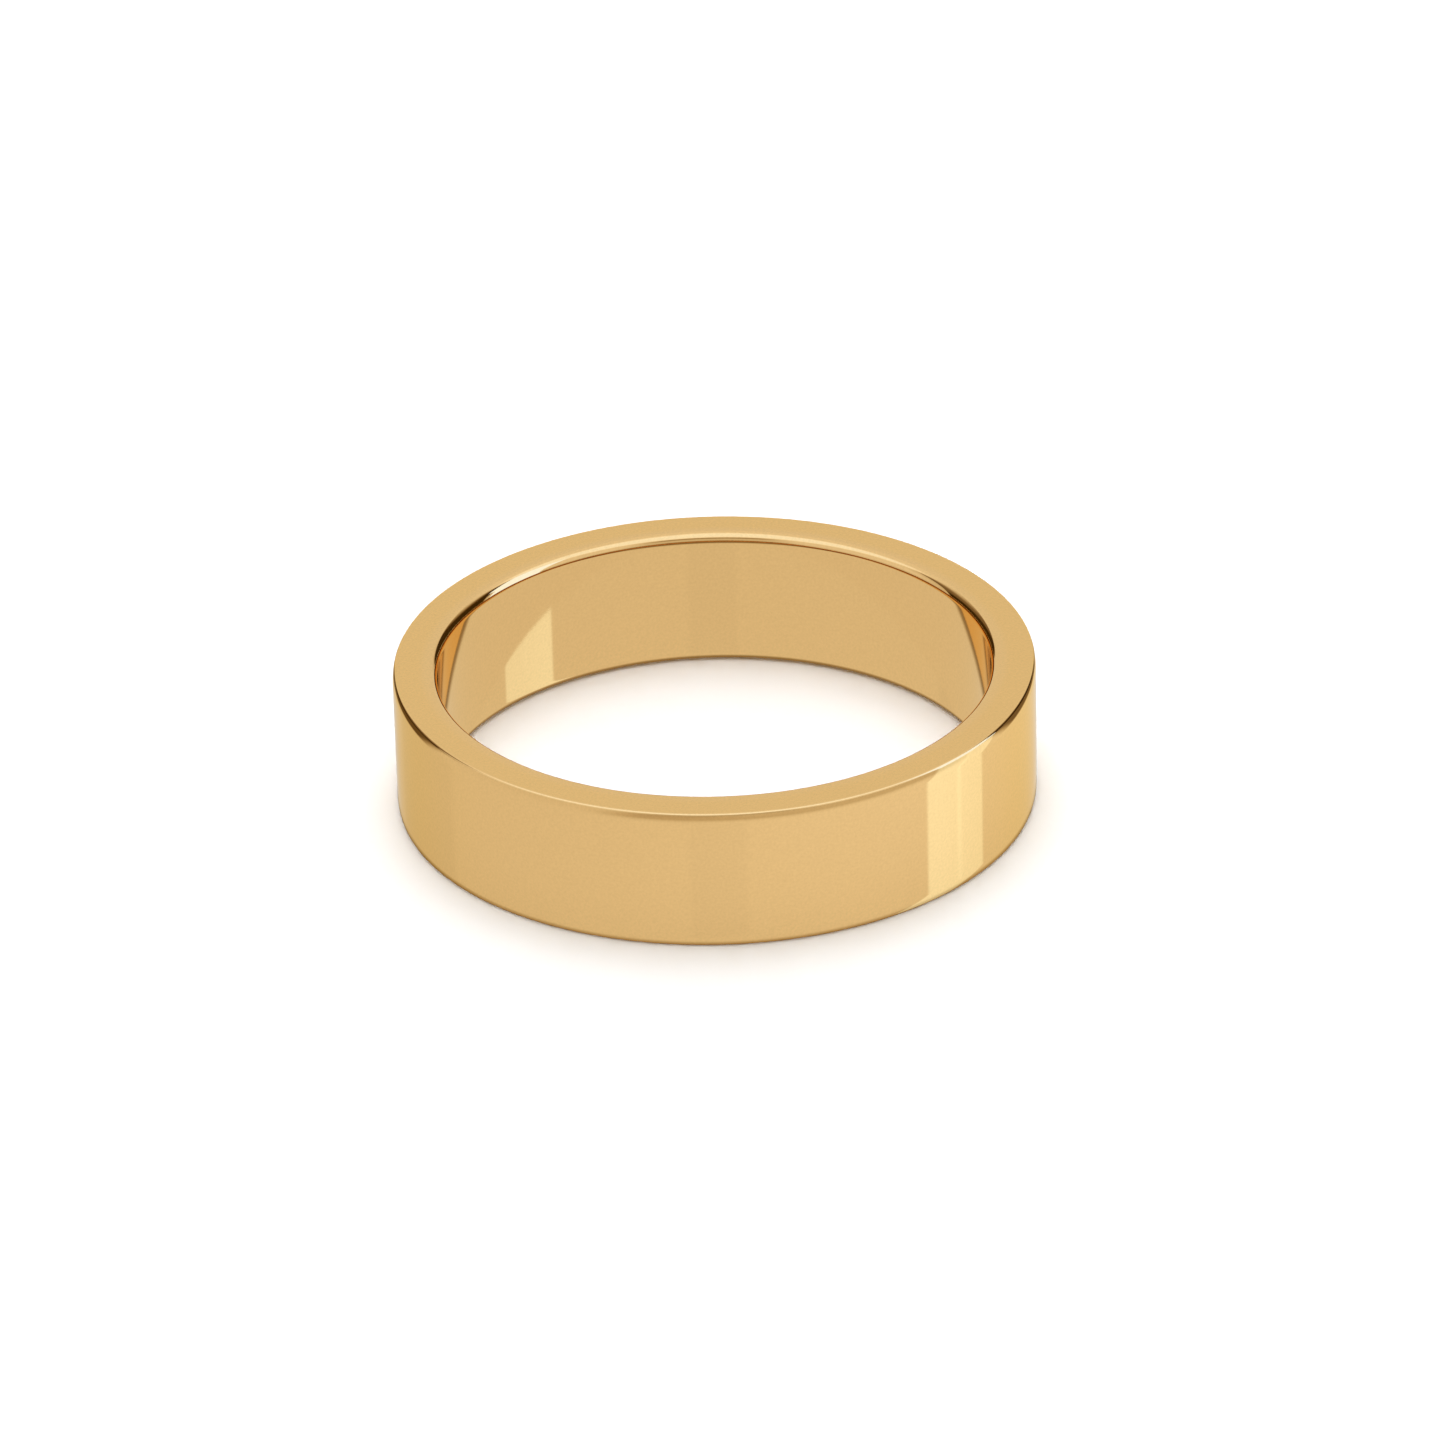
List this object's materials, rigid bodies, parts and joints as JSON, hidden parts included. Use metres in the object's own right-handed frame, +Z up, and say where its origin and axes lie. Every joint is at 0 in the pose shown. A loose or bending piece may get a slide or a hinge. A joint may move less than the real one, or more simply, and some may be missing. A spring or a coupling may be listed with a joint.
{
  "type": "wedding band",
  "caption": "Plain flat-sided wedding band: a straight-walled polished gold ring with small rounded edges, worn on a finger.",
  "frame": {"origin": "centre of the lower side face, on the finger's axis, where the ring rests when it is laid flat", "axes": "+Z up, along the finger's axis; the ring is round about +Z, so X and Y are interchangeable"},
  "size_m": [0.022, 0.022, 0.005],
  "materials": {
    "gold": "mirror-polished yellow gold"
  },
  "bodies": {
    "root": {"band": "gold"}
  },
  "joints": []
}
